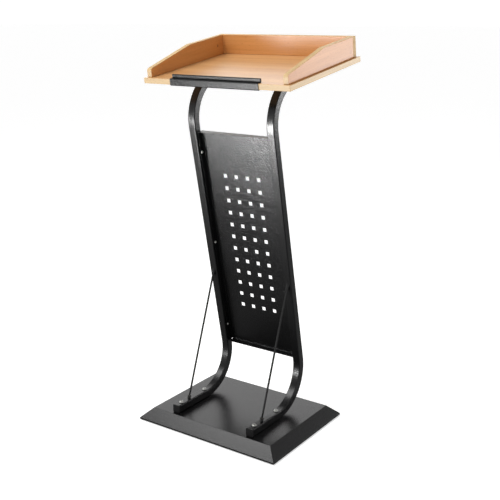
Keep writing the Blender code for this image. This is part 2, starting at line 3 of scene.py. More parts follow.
import bpy
import numpy as np
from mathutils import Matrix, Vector


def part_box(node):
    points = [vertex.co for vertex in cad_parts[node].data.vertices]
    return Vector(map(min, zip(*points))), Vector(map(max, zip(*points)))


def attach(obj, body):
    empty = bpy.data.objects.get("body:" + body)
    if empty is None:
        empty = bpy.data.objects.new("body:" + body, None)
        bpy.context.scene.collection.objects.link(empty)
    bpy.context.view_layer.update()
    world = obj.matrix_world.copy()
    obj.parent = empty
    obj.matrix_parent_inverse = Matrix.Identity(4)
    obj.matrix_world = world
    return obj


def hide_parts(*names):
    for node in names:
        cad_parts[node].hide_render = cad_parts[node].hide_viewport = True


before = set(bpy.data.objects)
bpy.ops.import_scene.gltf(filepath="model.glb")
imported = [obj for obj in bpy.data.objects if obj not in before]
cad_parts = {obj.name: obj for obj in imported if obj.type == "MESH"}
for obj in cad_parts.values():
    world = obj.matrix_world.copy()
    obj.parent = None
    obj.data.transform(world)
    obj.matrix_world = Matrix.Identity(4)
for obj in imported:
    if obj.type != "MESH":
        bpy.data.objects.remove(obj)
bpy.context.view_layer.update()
print("frame loaded,", len(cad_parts), "nodes")

bpy.context.scene.view_settings.view_transform = "Standard"
sides = (("left", -1), ("right", 1))
gap = 0.0003  # air between touching pieces
ease = 0.0003  # small break on a turned edge
creaseAngle = math.radians(35)  # a sharper fold is shaded as an edge
quarter = np.pi / 2


# Surfaces on a grid of two parameters

def unit(rows):
    return rows / np.linalg.norm(rows, axis=-1, keepdims=True)


def filleted(corners, steps, closed=True):
    # Each corner (u, v, radius) turns into an arc: centre + radius * (cos, sin) of an
    # angle that turns evenly from one side to the next. Also gives the outward normals.
    # An open line keeps its two ends as points, whatever their radius.
    corners = np.array(corners, float)
    here, radius = corners[:, :2], corners[:, 2:]
    back = unit(np.roll(here, 1, 0) - here)
    ahead = unit(np.roll(here, -1, 0) - here)
    half = np.arccos(np.clip((back * ahead).sum(1, keepdims=True), -1, 1)) / 2
    centre = here + unit(back + ahead) * radius / np.sin(half)
    spoke = here + back * radius / np.tan(half) - centre
    side = np.sign(ahead[:, :1] * back[:, 1:] - ahead[:, 1:] * back[:, :1])
    angle = side * (np.pi - 2 * half) * np.linspace(0, 1, steps + 1)
    u = np.cos(angle) * spoke[:, :1] - np.sin(angle) * spoke[:, 1:]
    v = np.sin(angle) * spoke[:, :1] + np.cos(angle) * spoke[:, 1:]
    arcs = np.stack([u, v], -1)
    points = centre[:, None] + arcs
    normals = unit(arcs) * side[:, None]
    if closed:
        return points.reshape(-1, 2), normals.reshape(-1, 2)
    inner = points[1:-1].reshape(-1, 2)
    innerNormals = normals[1:-1].reshape(-1, 2)
    points = np.concatenate([here[:1], inner, here[-1:]])
    return points, np.concatenate([innerNormals[:1], innerNormals, innerNormals[-1:]])


def rectangle(left, low, right, high, radius):
    return [(left, low, radius), (right, low, radius), (right, high, radius), (left, high, radius)]


def gridFaces(rows, columns, wrapRows=False, wrapColumns=True):
    # Quads between neighbours on a grid, closed round where it wraps
    row = np.arange(rows if wrapRows else rows - 1)[:, None]
    column = np.arange(columns if wrapColumns else columns - 1)[None, :]
    nextRow, nextColumn = (row + 1) % rows, (column + 1) % columns
    quads = [row * columns + column, row * columns + nextColumn,
             nextRow * columns + nextColumn, nextRow * columns + column]
    return np.stack(np.broadcast_arrays(*quads), -1).reshape(-1, 4)


def ringFaces(rows, columns, wrapRows=False):
    # A tube of rings; its two ends are closed by one flat face each unless it wraps
    faces = gridFaces(rows, columns, wrapRows).tolist()
    if not wrapRows:
        faces.append(list(range(columns))[::-1])
        faces.append(list(range((rows - 1) * columns, rows * columns)))
    return faces


def signedVolume(points, faces):
    # Sum of the tetrahedra between the middle and a fan over each face
    points = points - points.mean(0)
    total = 0.0
    for face in faces:
        fan = points[face]
        normals = np.cross(fan[1:-1], fan[2:])
        total += np.einsum("ij,j->", normals, fan[0])
    return total


def carried(outline, normals, profile):
    # Every ring is the outline drawn in by an inset and lifted to a height
    profile = np.array(profile, float)
    rings = outline[None] - normals[None] * profile[:, None, :1]
    height = np.broadcast_to(profile[:, None, 1:], rings.shape[:2] + (1,))
    return np.concatenate([rings, height], -1)


def roundedEdge(low, high, radius, steps=4):
    # A quarter circle at each end of a plate's thickness
    turn = np.linspace(0, quarter, steps + 1)
    inset = radius * (1 - np.sin(turn))
    lift = radius * (1 - np.cos(turn))
    lower = np.stack([inset, low + lift], -1)
    upper = np.stack([inset[::-1], high - lift[::-1]], -1)
    return np.concatenate([lower, upper])


def tilted(points, y, z, angle):
    # Turn about X, then move to (0, y, z)
    points = np.asarray(points, float)
    c, s = math.cos(angle), math.sin(angle)
    return np.stack([points[..., 0], y + points[..., 1] * c - points[..., 2] * s,
                     z + points[..., 1] * s + points[..., 2] * c], -1)


def turned(profile, columns=48):
    # Radius is a row's half width, stretched to a hexagon where the row's third value is 1
    profile = np.array([row if len(row) == 3 else (*row, 0) for row in profile], float)
    theta = np.arange(columns) * 2 * np.pi / columns
    hexagon = 1 / np.cos((theta + np.pi / 6) % (np.pi / 3) - np.pi / 6)
    radius = profile[:, :1] * (1 + profile[:, 2:] * (hexagon[None] - 1))
    z = np.broadcast_to(profile[:, 1:2], radius.shape)
    return np.stack([radius * np.cos(theta), radius * np.sin(theta), z], -1)


def aimed(points, origin, axis):
    # Local Z is laid along the axis, from the origin
    axis = unit(np.array(axis, float))
    side = np.array((1.0, 0, 0)) if abs(axis[0]) < 0.9 else np.array((0, 1.0, 0))
    across = unit(np.cross(side, axis))
    other = np.cross(axis, across)
    return np.asarray(origin) + points @ np.stack([other, across, axis])


# Pieces: each stands for one node of the model and rides on its only body

def newPiece(node, points, faces, finish):
    name = f"{node}_piece"
    mesh = bpy.data.meshes.new(name)
    mesh.from_pydata(points.tolist(), [], faces)
    mesh.shade_smooth()
    mesh.set_sharp_from_angle(angle=creaseAngle)
    for surface in finish if isinstance(finish, tuple) else (finish,):
        mesh.materials.append(surface)
    piece = bpy.data.objects.new(name, mesh)
    bpy.context.scene.collection.objects.link(piece)
    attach(piece, "root")
    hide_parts(node)
    return piece


def evened(piece):
    even = piece.modifiers.new("even normals", "WEIGHTED_NORMAL")
    even.keep_sharp = True


def thickened(piece, thickness):
    sheet = piece.modifiers.new("sheet", "SOLIDIFY")
    sheet.thickness, sheet.offset, sheet.use_even_offset = thickness, -1.0, True


def makePiece(node, points, faces, finish):
    # Turned right side out by its volume
    points = np.asarray(points, float).reshape(-1, 3)
    if signedVolume(points, faces) < 0:
        faces = [face[::-1] for face in faces]
    piece = newPiece(node, points, faces, finish)
    evened(piece)
    return piece


def makeTurned(node, profile, origin, axis, finish, wrap=False, columns=48):
    points = aimed(turned(profile, columns), origin, axis)
    makePiece(node, points, ringFaces(points.shape[0], columns, wrap), finish)


# Where the stand's two tilted frames lie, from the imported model

leg = {"lean": math.radians(12.0), "middle": (-0.0013, 0.602), "bend": 0.120, "bendSteps": 52,
       "size": 0.025, "corner": 0.0032, "cornerSteps": 6, "wall": 0.0015, "runEnd": 0.330,
       "end": 0.001}
tray = {"tilt": math.radians(8.86), "board": (0.500, 0.389, 0.016), "corner": 0.0016,
        "round": 0.0010, "eased": 0.00015}  # eased: how far rounding draws in the solid board's box

boardLow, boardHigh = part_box("tray_board")
legLow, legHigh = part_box("leg_right")
baseLow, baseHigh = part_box("base_cover")
legX = (legLow.x + legHigh.x) / 2
footTop = legLow.z + leg["size"]
footFront = legLow.y
baseY = (baseLow.y + baseHigh.y) / 2
trayY = boardLow.y - tray["eased"]
trayZ = boardHigh.z - tray["board"][1] * math.sin(tray["tilt"]) + tray["eased"]
underBoard = -tray["board"][2] - gap
underRun = underBoard - leg["size"]


def onTray(points):
    return tilted(points, trayY, trayZ, tray["tilt"])


def onLeg(points):
    return tilted(points, *leg["middle"], leg["lean"])


# Finishes

white = (1, 1, 1)
mottleStops = (0.3, 0.7)  # the middle of a noise's range


def nodeTree(name):
    surface = bpy.data.materials.new(name)
    surface.use_nodes = True
    tree = surface.node_tree
    return surface, tree, tree.nodes["Principled BSDF"]


def objectCoordinates(tree):
    return tree.nodes.new("ShaderNodeTexCoord").outputs["Object"]


def noise(tree, coordinates, scale, detail=2.0, roughness=0.5):
    texture = tree.nodes.new("ShaderNodeTexNoise")
    texture.inputs["Scale"].default_value = scale
    texture.inputs["Detail"].default_value = detail
    texture.inputs["Roughness"].default_value = roughness
    tree.links.new(coordinates, texture.inputs["Vector"])
    return texture.outputs["Fac"]


def stretched(tree, coordinates, scale):
    mapping = tree.nodes.new("ShaderNodeMapping")
    mapping.inputs["Scale"].default_value = scale
    tree.links.new(coordinates, mapping.inputs["Vector"])
    return mapping.outputs["Vector"]


def ramp(tree, source, stops):
    node = tree.nodes.new("ShaderNodeValToRGB")
    tree.links.new(source, node.inputs["Fac"])
    elements = node.color_ramp.elements
    for _ in range(len(stops) - 2):
        elements.new(0.5)
    for element, (position, colour) in zip(elements, stops):
        element.position = position
        element.color = (*colour, 1.0)
    return node.outputs["Color"]


def mottled(tree, source, settings):
    # Dark to light over the middle of the noise's range
    return ramp(tree, source, list(zip(mottleStops, (settings["dark"], settings["light"]))))


def multiplied(tree, colour, shade, amount):
    node = tree.nodes.new("ShaderNodeMix")
    node.data_type = "RGBA"
    node.blend_type = "MULTIPLY"
    node.inputs["Factor"].default_value = amount
    tree.links.new(colour, node.inputs["A"])
    tree.links.new(shade, node.inputs["B"])
    return node.outputs["Result"]


def scaled(tree, source, low, high):
    node = tree.nodes.new("ShaderNodeMapRange")
    node.inputs["To Min"].default_value = low
    node.inputs["To Max"].default_value = high
    tree.links.new(source, node.inputs["Value"])
    return node.outputs["Result"]


def bumped(tree, shader, source, distance, strength):
    bump = tree.nodes.new("ShaderNodeBump")
    bump.inputs["Distance"].default_value = distance
    bump.inputs["Strength"].default_value = strength
    tree.links.new(source, bump.inputs["Height"])
    tree.links.new(bump.outputs["Normal"], shader.inputs["Normal"])
    return bump


powder = {"dark": (0.0012, 0.0012, 0.0014), "light": (0.0028, 0.0028, 0.0031), "specular": 0.30,
          "peel": 260, "bump": (0.0006, 0.6), "grit": 900, "gritBump": (0.00006, 0.35),
          "peelNoise": (3.0, 0.6), "gritNoise": (2.0, 0.6),
          "speck": 1.6, "rough": (0.20, 0.28)}  # speck: its scale beside the peel's
powderSheet = powder | {"peel": 205, "bump": (0.0011, 0.8), "rough": (0.11, 0.32)}
powderStrip = powder | {"peel": 240, "bump": (0.0009, 0.8), "specular": 0.085}


def makePowder(name, settings):
    # Orange peel and a finer grit under a semi-gloss black
    surface, tree, shader = nodeTree(name)
    place = objectCoordinates(tree)
    peel = noise(tree, place, settings["peel"], *settings["peelNoise"])
    grit = noise(tree, place, settings["grit"], *settings["gritNoise"])
    speck = noise(tree, place, settings["peel"] * settings["speck"])
    tree.links.new(mottled(tree, peel, settings), shader.inputs["Base Color"])
    tree.links.new(scaled(tree, speck, *settings["rough"]), shader.inputs["Roughness"])
    coarse = bumped(tree, shader, peel, *settings["bump"])
    fine = bumped(tree, shader, grit, *settings["gritBump"])
    tree.links.new(coarse.outputs["Normal"], fine.inputs["Normal"])
    shader.inputs["Specular IOR Level"].default_value = settings["specular"]
    return surface


# Deep, middle and pale streak colours of each board, all one beech toned apart by board:
# the top and back sets are paler than the side set, partly painted sheen; the side set is
# deeper, partly painted shade; the edge set is paler and yellower, partly a painted
# highlight of the light on the edges. A grain pattern has its scales along the grain and
# across it, then its noise's detail and roughness.
beech = {"side": ((0.455, 0.166, 0.036), (0.525, 0.210, 0.050), (0.59, 0.257, 0.072)),
         "top": ((0.54, 0.268, 0.095), (0.63, 0.342, 0.132), (0.69, 0.395, 0.165)),
         "back": ((0.54, 0.225, 0.058), (0.62, 0.278, 0.082), (0.70, 0.335, 0.112)),
         "edge": ((0.46, 0.305, 0.140), (0.62, 0.435, 0.22), (0.62, 0.435, 0.22)),
         "streaks": (0.9, 26, 4.0, 0.55), "fibres": (7, 520, 3.0, 0.6),
         "flecks": (70, 640, 1.0, 0.4), "streakStops": (0.30, 0.50, 0.72),
         "fibreStops": (0.32, 0.62), "fleckStops": (0.28, 0.38), "spread": (1.0, 0.7, 1.3),
         "fibreShade": (0.62, 0.55, 0.48), "fleckShade": (0.45, 0.34, 0.26), "shading": 0.30,
         "rough": (0.44, 0.56), "bump": (0.00008, 0.18), "coatRough": 0.26,
         "coated": 0.35, "bare": 0.15}  # specular level with and without a coat


def makeBeech(name, grain, colours, seed, coat):
    # Straight grain: long streaks, fine fibres and short dark flecks, all stretched
    # along one direction of the tilted tray
    surface, tree, shader = nodeTree(name)
    level = tree.nodes.new("ShaderNodeMapping")
    level.inputs["Rotation"].default_value = (-tray["tilt"], 0, 0)
    level.inputs["Location"].default_value = [seed * share for share in beech["spread"]]
    tree.links.new(objectCoordinates(tree), level.inputs["Vector"])

    def grained(pattern):
        along, across, detail, roughness = beech[pattern]
        scale = tuple(along if axis == grain else across for axis in "xyz")
        return noise(tree, stretched(tree, level.outputs["Vector"], scale), 1.0, detail, roughness)

    streaks = grained("streaks")
    fibres = grained("fibres")
    flecks = grained("flecks")
    colour = ramp(tree, streaks, list(zip(beech["streakStops"], colours)))
    fibreShade = ramp(tree, fibres, list(zip(beech["fibreStops"], (beech["fibreShade"], white))))
    fleckShade = ramp(tree, flecks, list(zip(beech["fleckStops"], (beech["fleckShade"], white))))
    colour = multiplied(tree, colour, fibreShade, beech["shading"])
    colour = multiplied(tree, colour, fleckShade, beech["shading"])
    tree.links.new(colour, shader.inputs["Base Color"])
    tree.links.new(scaled(tree, streaks, *beech["rough"]), shader.inputs["Roughness"])
    bumped(tree, shader, fibres, *beech["bump"])
    shader.inputs["Coat Weight"].default_value = coat
    shader.inputs["Coat Roughness"].default_value = beech["coatRough"]
    shader.inputs["Specular IOR Level"].default_value = beech["coated" if coat else "bare"]
    return surface


plated = {"grain": 900, "noise": (4.0, 0.6), "bump": (0.00004, 0.2), "metallic": 1.0, "specular": 0.5}
brightPlate = plated | {"dark": (0.26, 0.26, 0.25), "light": (0.44, 0.44, 0.42), "rough": (0.26, 0.42)}
darkPlate = plated | {"dark": (0.030, 0.028, 0.026), "light": (0.075, 0.070, 0.066),
                      "rough": (0.34, 0.5)}
moulded = {"grain": 1200, "noise": (3.0, 0.6), "bump": (0.0001, 0.3), "metallic": 0.0, "specular": 0.22,
           "dark": (0.003, 0.003, 0.0032), "light": (0.006, 0.006, 0.0064), "rough": (0.34, 0.48)}
rubber = moulded | {"grain": 700, "dark": (0.010, 0.010, 0.010), "light": (0.022, 0.021, 0.020),
                    "rough": (0.75, 0.9)}


def makeMottled(name, settings):
    # One fine noise gives plated steel, moulded plastic and rubber their colour, gloss and relief
    surface, tree, shader = nodeTree(name)
    mottle = noise(tree, objectCoordinates(tree), settings["grain"], *settings["noise"])
    tree.links.new(mottled(tree, mottle, settings), shader.inputs["Base Color"])
    tree.links.new(scaled(tree, mottle, *settings["rough"]), shader.inputs["Roughness"])
    bumped(tree, shader, mottle, *settings["bump"])
    shader.inputs["Metallic"].default_value = settings["metallic"]
    shader.inputs["Specular IOR Level"].default_value = settings["specular"]
    return surface


powderBlack = makePowder("powder black", powder)
powderPanel = makePowder("powder black panel", powderSheet)
powderStop = makePowder("powder black fold", powderStrip)
# Copies of one beech: the top and back colour sets carry painted sheen, the side set painted shade
beechLong = makeBeech("beech along the width", "x", beech["top"], 0.0, 0.74)
beechSide = makeBeech("beech along the side", "y", beech["side"], 3.1, 0.46)
beechBack = makeBeech("beech along the back", "x", beech["back"], 9.2, 0.35)
# The edge strips' paler, yellower colour set is partly a painted highlight of the light on the edges
beechEdgeLong = makeBeech("edge strip along the width", "x", beech["edge"], 5.3, 0.0)
beechEdgeShort = makeBeech("edge strip of the short sides", "y", beech["edge"], 8.6, 0.3)
beechEdgeSide = makeBeech("edge strip along the side", "y", beech["edge"], 7.7, 0.0)
zinc = makeMottled("bright zinc", brightPlate)
darkSteel = makeMottled("dark plated steel", darkPlate)
capPlastic = makeMottled("cap plastic", moulded)
padRubber = makeMottled("pad rubber", rubber)
print("finishes made")


# Base: one section carried round a rectangle, so the corners are mitred

base = {"rise": 0.0052, "slope": 0.033, "flange": 0.020, "sheet": 0.002, "lap": 0.03, "end": 0.001,
        "fold": 0.0022, "rim": 0.0013, "corner": 0.0018, "steps": 5}


def makeBase(settings):
    # A ring is the rectangle, its corners moved in by the section's inset, at its height.
    # The section runs from the flat top down the slope and the rim to the return flange.
    halfX, halfY = (baseHigh.x - baseLow.x) / 2, (baseHigh.y - baseLow.y) / 2
    around, _ = filleted(rectangle(-halfX, -halfY, halfX, halfY, settings["corner"]), settings["steps"])
    section, _ = filleted([(settings["slope"] + settings["lap"], baseHigh.z, settings["end"]),
                           (settings["slope"], baseHigh.z, settings["fold"]),
                           (0.0, baseLow.z + settings["rise"], settings["rim"]),
                           (0.0, baseLow.z, settings["rim"]),
                           (settings["flange"], baseLow.z, settings["end"])],
                          settings["steps"], closed=False)
    rings = around[None] - np.sign(around)[None] * section[:, None, :1]
    height = np.broadcast_to(section[:, None, 1:], rings.shape[:2] + (1,))
    points = np.concatenate([rings + (0, baseY), height], -1)
    rows, columns = points.shape[:2]
    faces = gridFaces(rows, columns).tolist() + [list(range(columns))[::-1]]
    piece = makePiece("base_cover", points, faces, powderBlack)
    thickened(piece, settings["sheet"])


# Pads, bolts, washers and nuts

pad = {"round": 0.0005, "lift": 0.0001, "columns": 32}
washer = {"wide": 0.011, "round": 0.0003}
bolt = {"head": 0.00725, "height": 0.0042, "crown": (0.48, 0.22), "socket": 0.0025, "depth": 0.0026,
        "shank": 0.004, "length": 0.0386, "plain": 0.012, "pitch": 0.00125, "point": (0.001, 0.0005),
        "rim": 0.0002, "steps": 9}
nutForm = {"face": 0.97, "mouth": 0.0004}  # round face beside the flats, and the bore's mouth
footNut = nutForm | {"flats": 0.0065, "height": 0.0065, "bore": 0.0043, "chamfer": 0.0006}
braceNut = nutForm | {"flats": 0.005, "height": 0.005, "bore": 0.0033, "chamfer": 0.0005}
threadDepth = 0.54  # of its pitch
up = (0, 0, 1)


def threaded(radius, top, bottom, pitch):
    # Crests and roots take turns, half a pitch apart
    count = int(abs(top - bottom) / pitch) * 2
    z = np.linspace(top, bottom, count + 1)
    depth = radius - threadDepth * pitch * (np.arange(count + 1) % 2)
    return np.stack([depth, z], -1).tolist()


def domed(radius, tall, crown, count):
    # A quarter ellipse from the flat middle of the head to the top of its rim
    flat, rim = crown
    turn = np.linspace(0, quarter, count)
    wide = radius * (flat + (1 - flat) * np.sin(turn))
    return np.stack([wide, tall * (rim + (1 - rim) * np.cos(turn))], -1).tolist()


def nutProfile(settings):
    flats, tall, bore, cut = (settings[key] for key in ("flats", "height", "bore", "chamfer"))
    narrow, mouth = flats * settings["face"], settings["mouth"]
    return [(bore + ease, 0, 0), (narrow, 0, 0), (flats, cut, 1), (flats, tall - cut, 1),
            (narrow, tall, 0), (bore + ease, tall, 0), (bore, tall - mouth, 0), (bore, mouth, 0)]


def makePads(settings):
    edge = settings["round"]
    for end in ("front", "back"):
        for side, _ in sides:
            node = f"rubber_foot_{end}_{side}"
            low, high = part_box(node)
            wide = (high.x - low.x) / 2
            rows = [(wide - 2 * edge, low.z), (wide - edge, low.z + settings["lift"]), (wide, low.z + edge),
                    (wide, high.z - edge), (wide - edge, high.z)]
            makeTurned(node, rows, ((low.x + high.x) / 2, (low.y + high.y) / 2, 0), up,
                       padRubber, columns=settings["columns"])


def boltProfile(settings):
    # Socket floor and wall, domed head, then the threaded shank and its point
    head, tall, shank, socket = (settings[key] for key in ("head", "height", "shank", "socket"))
    inset, rise = settings["point"]
    rows = [(socket, tall - settings["depth"], 1), (socket, tall - ease, 1), (socket + ease, tall, 1)]
    rows += domed(head, tall, settings["crown"], settings["steps"])
    rows += [(head, settings["rim"]), (head - ease, 0.0), (shank, 0.0)]
    rows += threaded(shank, -settings["plain"], rise - settings["length"], settings["pitch"])
    return rows + [(shank - inset, -settings["length"])]


def makeFootFasteners(bolt, washer, nut):
    for end in ("front", "rear"):
        for side, _ in sides:
            node = f"foot_bolt_{end}_{side}"
            low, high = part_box(node)
            middle = ((low.x + high.x) / 2, (low.y + high.y) / 2)
            makeTurned(node, boltProfile(bolt), (*middle, high.z - bolt["height"]), up, zinc)
            node = f"foot_washer_{end}_{side}"
            low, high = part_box(node)
            bore, wide, edge = bolt["shank"] + gap, washer["wide"], washer["round"]
            tall = high.z - low.z
            rows = [(bore, 0), (wide - edge, 0), (wide, edge), (wide, tall - edge),
                    (wide - edge, tall), (bore, tall)]
            makeTurned(node, rows, (*middle, low.z), up, zinc, wrap=True)
            node = f"foot_nut_{end}_{side}"
            low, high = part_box(node)
            makeTurned(node, nutProfile(nut), (*middle, low.z), up, zinc, wrap=True)


# Legs: a rounded square carried along foot run, leaning run and tray run

def crossing(point, direction, other, heading):
    # Where two lines meet, each given by a point and a direction
    cross = direction[0] * heading[1] - direction[1] * heading[0]
    apart = other - point
    return point + direction * (apart[0] * heading[1] - apart[1] * heading[0]) / cross


def legRoute(settings):
    bend, end = settings["bend"], settings["end"]
    foot = np.array((footFront, footTop - settings["size"] / 2))
    post = np.array(settings["middle"])
    rise = np.array((-math.sin(settings["lean"]), math.cos(settings["lean"])))
    along = np.array((math.cos(tray["tilt"]), math.sin(tray["tilt"])))
    last = onTray((0, settings["runEnd"], underBoard - settings["size"] / 2))[1:]
    low = crossing(post, rise, foot, np.array((1.0, 0)))
    high = crossing(post, rise, last, along)
    return filleted([(*foot, end), (*low, bend), (*high, bend), (*last, end)],
                    settings["bendSteps"], closed=False)


def squareSection(size, corner):
    half = size / 2
    return filleted(rectangle(-half, -half, half, half, corner), leg["cornerSteps"])


def makeLegs(settings):
    # Point = route + sideways * section u + route normal * section v; the inner skin
    # runs back the other way and joins the outer one at both cut ends
    route, normals = legRoute(settings)
    wall = settings["wall"]
    outer, _ = squareSection(settings["size"], settings["corner"])
    inner, _ = squareSection(settings["size"] - 2 * wall, settings["corner"] - wall)

    def skin(section):
        across = np.broadcast_to(section[None, :, :1], (len(route), len(section), 1))
        return np.concatenate([across, route[:, None] + normals[:, None] * section[None, :, 1:]], -1)

    shell = np.concatenate([skin(outer), skin(inner)[::-1]])
    for side, x in sides:
        makePiece(f"leg_{side}", shell + (x * legX, 0, 0), ringFaces(*shell.shape[:2], wrapRows=True),
                  powderBlack)


cap = {"plate": 0.0024, "round": 0.0009, "break": 0.0001, "plug": 0.012, "fit": 0.0018, "steps": 6}


def makeCaps(settings):
    # The section drawn in over the plate's rounded front and again over its plug
    half, plate = leg["size"] / 2, settings["plate"]
    outline, normals = squareSection(leg["size"], leg["corner"])
    turn = np.linspace(0, quarter, settings["steps"])
    front = np.stack([1 - np.sin(turn), 1 - np.cos(turn)], -1) * settings["round"]
    profile = front.tolist() + [(0.0, plate - settings["break"]), (settings["break"], plate),
                                (settings["fit"], plate), (settings["fit"], plate + settings["plug"])]
    rings = carried(outline, normals, profile)
    u, v, depth = rings[..., 0], rings[..., 1], rings[..., 2]
    for side, x in sides:
        across = u + x * legX
        foot = np.stack([across, depth + footFront - gap - plate, v + footTop - half], -1)
        top = onTray(np.stack([across, leg["runEnd"] + gap + plate - depth, v + underBoard - half], -1))
        for place, points in (("foot", foot), ("top", top)):
            makePiece(f"{place}_cap_{side}", points, ringFaces(*points.shape[:2]),
                      capPlastic)


# Braces: rod, seat on the foot, nut and the boss on the leg

brace = {"footY": -0.1195, "topAlong": -0.1517, "rod": 0.003, "inFoot": 0.009, "inLeg": 0.014,
         "thread": 0.022, "pitch": 0.0010, "point": 0.0006, "round": 0.0005,
         "boss": 0.005, "seat": 0.0045, "bossLength": 0.014, "columns": (24, 32)}


def slid(points, axis, spot, normal):
    # Each point slides along the axis until it lies in the plane
    reach = ((spot - points) @ normal) / (axis @ normal)
    return points + reach[..., None] * axis


def makeBraces(settings):
    low = np.array((0, settings["footY"], footTop))
    high = onLeg((0, -leg["size"] / 2, settings["topAlong"]))
    span = float(np.linalg.norm(high - low))
    axis = (high - low) / span
    legFace = np.array((0, -math.cos(leg["lean"]), -math.sin(leg["lean"])))
    radius, collar, edge, point = (settings[key] for key in ("rod", "boss", "round", "point"))
    tall, bore, start = settings["seat"], radius + gap, span - settings["bossLength"]
    rodColumns, columns = settings["columns"]
    rod = [(radius - point, -settings["inFoot"])]
    rod += threaded(radius, point - settings["inFoot"], settings["thread"], settings["pitch"])
    rod += [(radius, settings["thread"] + point), (radius, span / 2),
            (radius, span + settings["inLeg"] - edge), (radius - edge, span + settings["inLeg"])]
    seatRows = [(bore, 0), (collar, 0), (collar, tall - edge), (collar - edge, tall), (bore, tall)]
    bossRows = [(bore, span), (bore, start), (collar - edge, start), (collar, start + edge), (collar, span)]
    for side, x in sides:
        foot = low + (x * legX, 0, 0)
        makeTurned(f"brace_rod_{side}", rod, foot, axis, powderBlack, columns=rodColumns)
        seat = aimed(turned(seatRows, columns), foot, axis)
        seat[:2] = slid(seat[:2], axis, low + (0, 0, gap), np.array(up, float))
        boss = aimed(turned(bossRows, columns), foot, axis)
        boss[[0, -1]] = slid(boss[[0, -1]], axis, high + legFace * gap, legFace)
        for place, points in (("seat", seat), ("top_boss", boss)):
            makePiece(f"brace_{place}_{side}", points, ringFaces(*points.shape[:2], wrapRows=True),
                      powderBlack)
        makeTurned(f"brace_nut_{side}", nutProfile(braceNut), foot + axis * (tall + gap), axis,
                   darkSteel, wrap=True)


makeBase(base)
makePads(pad)
makeFootFasteners(bolt, washer, footNut)
makeLegs(leg)
makeCaps(cap)
makeBraces(brace)
print("base, legs and braces made")


# Front panel: a sheet folded on all four sides, with punched squares

panel = {"half": legX - leg["size"] / 2 - gap, "low": -0.415, "high": 0.307, "face": 0.0135,
         "lip": -0.005, "sheet": 0.0015, "fold": 0.0023, "foldSteps": 5, "punch": 0.012,
         "pitch": 0.040, "rows": 12, "columns": 4, "middle": -0.051,
         "edge": 0.0003, "edgeAngle": math.radians(55)}


def folded(distance, flat, radius):
    # Past the flat part the sheet goes round a quarter circle, then straight on:
    # sideways = radius * sin(turn), drop = radius * (1 - cos(turn)) + what is left
    over = np.maximum(np.abs(distance) - flat, 0)
    turn = np.minimum(over / radius, quarter)
    rest = np.maximum(over - radius * quarter, 0)
    sideways = np.sign(distance) * (np.minimum(np.abs(distance), flat) + radius * np.sin(turn))
    return sideways, radius * (1 - np.cos(turn)) + rest


def makePanel(settings):
    back = settings["face"] + settings["sheet"]
    fold, half = settings["fold"], settings["half"]
    middle = (settings["low"] + settings["high"]) / 2
    tall = (settings["high"] - settings["low"]) / 2
    flange = back - settings["lip"] - fold
    bend = np.linspace(0, fold * quarter, settings["foldSteps"] + 1)[1:]
    punch = settings["punch"] / 2

    def lines(flat, count, centre):
        # Grid lines: flange end, bend, edges of the holes
        holes = centre + (np.arange(count) - (count - 1) / 2) * settings["pitch"]
        outside = np.concatenate([[flat], flat + bend, [flat + fold * quarter + flange]])
        return np.sort(np.concatenate([-outside, holes - punch, holes + punch, outside])), holes

    across, columns = lines(half - fold, settings["columns"], 0.0)
    upward, rows = lines(tall - fold, settings["rows"], settings["middle"] - middle)
    u, v = np.meshgrid(across, upward)
    x, dropAcross = folded(u, half - fold, fold)
    z, dropUp = folded(v, tall - fold, fold)
    points = onLeg(np.stack([x, back - dropAcross - dropUp, z + middle], -1)).reshape(-1, 3)
    # The holes and the four corners, where two flanges would meet, are left open
    midU = (across[1:] + across[:-1]) / 2
    midV = (upward[1:] + upward[:-1]) / 2
    inColumn = (np.abs(midU[:, None] - columns) < punch).any(1)
    inRow = (np.abs(midV[:, None] - rows) < punch).any(1)
    outU, outV = np.abs(midU) > half - fold, np.abs(midV) > tall - fold
    keep = ~(inRow[:, None] & inColumn[None] | outV[:, None] & outU[None])
    faces = gridFaces(len(upward), len(across), wrapColumns=False)[keep.reshape(-1)]
    used, faces = np.unique(faces, return_inverse=True)
    points, faces = points[used], faces.reshape(-1, 4)
    outward = onLeg((0, 1, 0)) - onLeg((0, 0, 0))
    corner = points[faces[len(faces) // 2]]
    if np.cross(corner[1] - corner[0], corner[2] - corner[0]) @ outward < 0:
        faces = faces[:, ::-1]
    piece = newPiece("front_panel", points, faces.tolist(), powderPanel)
    thickened(piece, settings["sheet"])
    edges = piece.modifiers.new("edges", "BEVEL")
    edges.width, edges.segments, edges.angle_limit = settings["edge"], 2, settings["edgeAngle"]
    evened(piece)


# Tray: board, fences, book stop and the dowels of the fences' corners

fence = {"thick": 0.016, "x": 0.241, "back": 0.380, "start": 0.008, "frontHeight": 0.025,
         "height": 0.060, "bend": 0.200, "round": 0.0009, "corner": 0.00144,
         "bendRadius": 0.025, "noseRadius": 0.009, "steps": 8}
squareOn = 0.7  # a normal's share along X, on a board's short side
stop = {"half": 0.151, "sheet": 0.002, "flange": 0.025, "top": 0.012, "hem": (0.011, 0.016),
        "hemRound": 0.0024, "flangeEnd": 0.0007, "fold": 0.003, "crease": 0.0006, "end": 0.0003,
        "steps": 7}
dowel = {"along": 0.334, "height": 0.0305, "radius": 0.0035, "length": 0.012, "proud": 0.0001,
         "drive": 0.45, "depth": 0.0012, "rim": 0.0002, "columns": 36}


def acrossTray(rings):
    # An outline in the tray's length and height, its thickness across the tray
    return onTray(rings[..., [2, 0, 1]])


def alongTray(rings):
    # An outline in the tray's width and height, its thickness along the tray
    return onTray(rings[..., [0, 2, 1]])


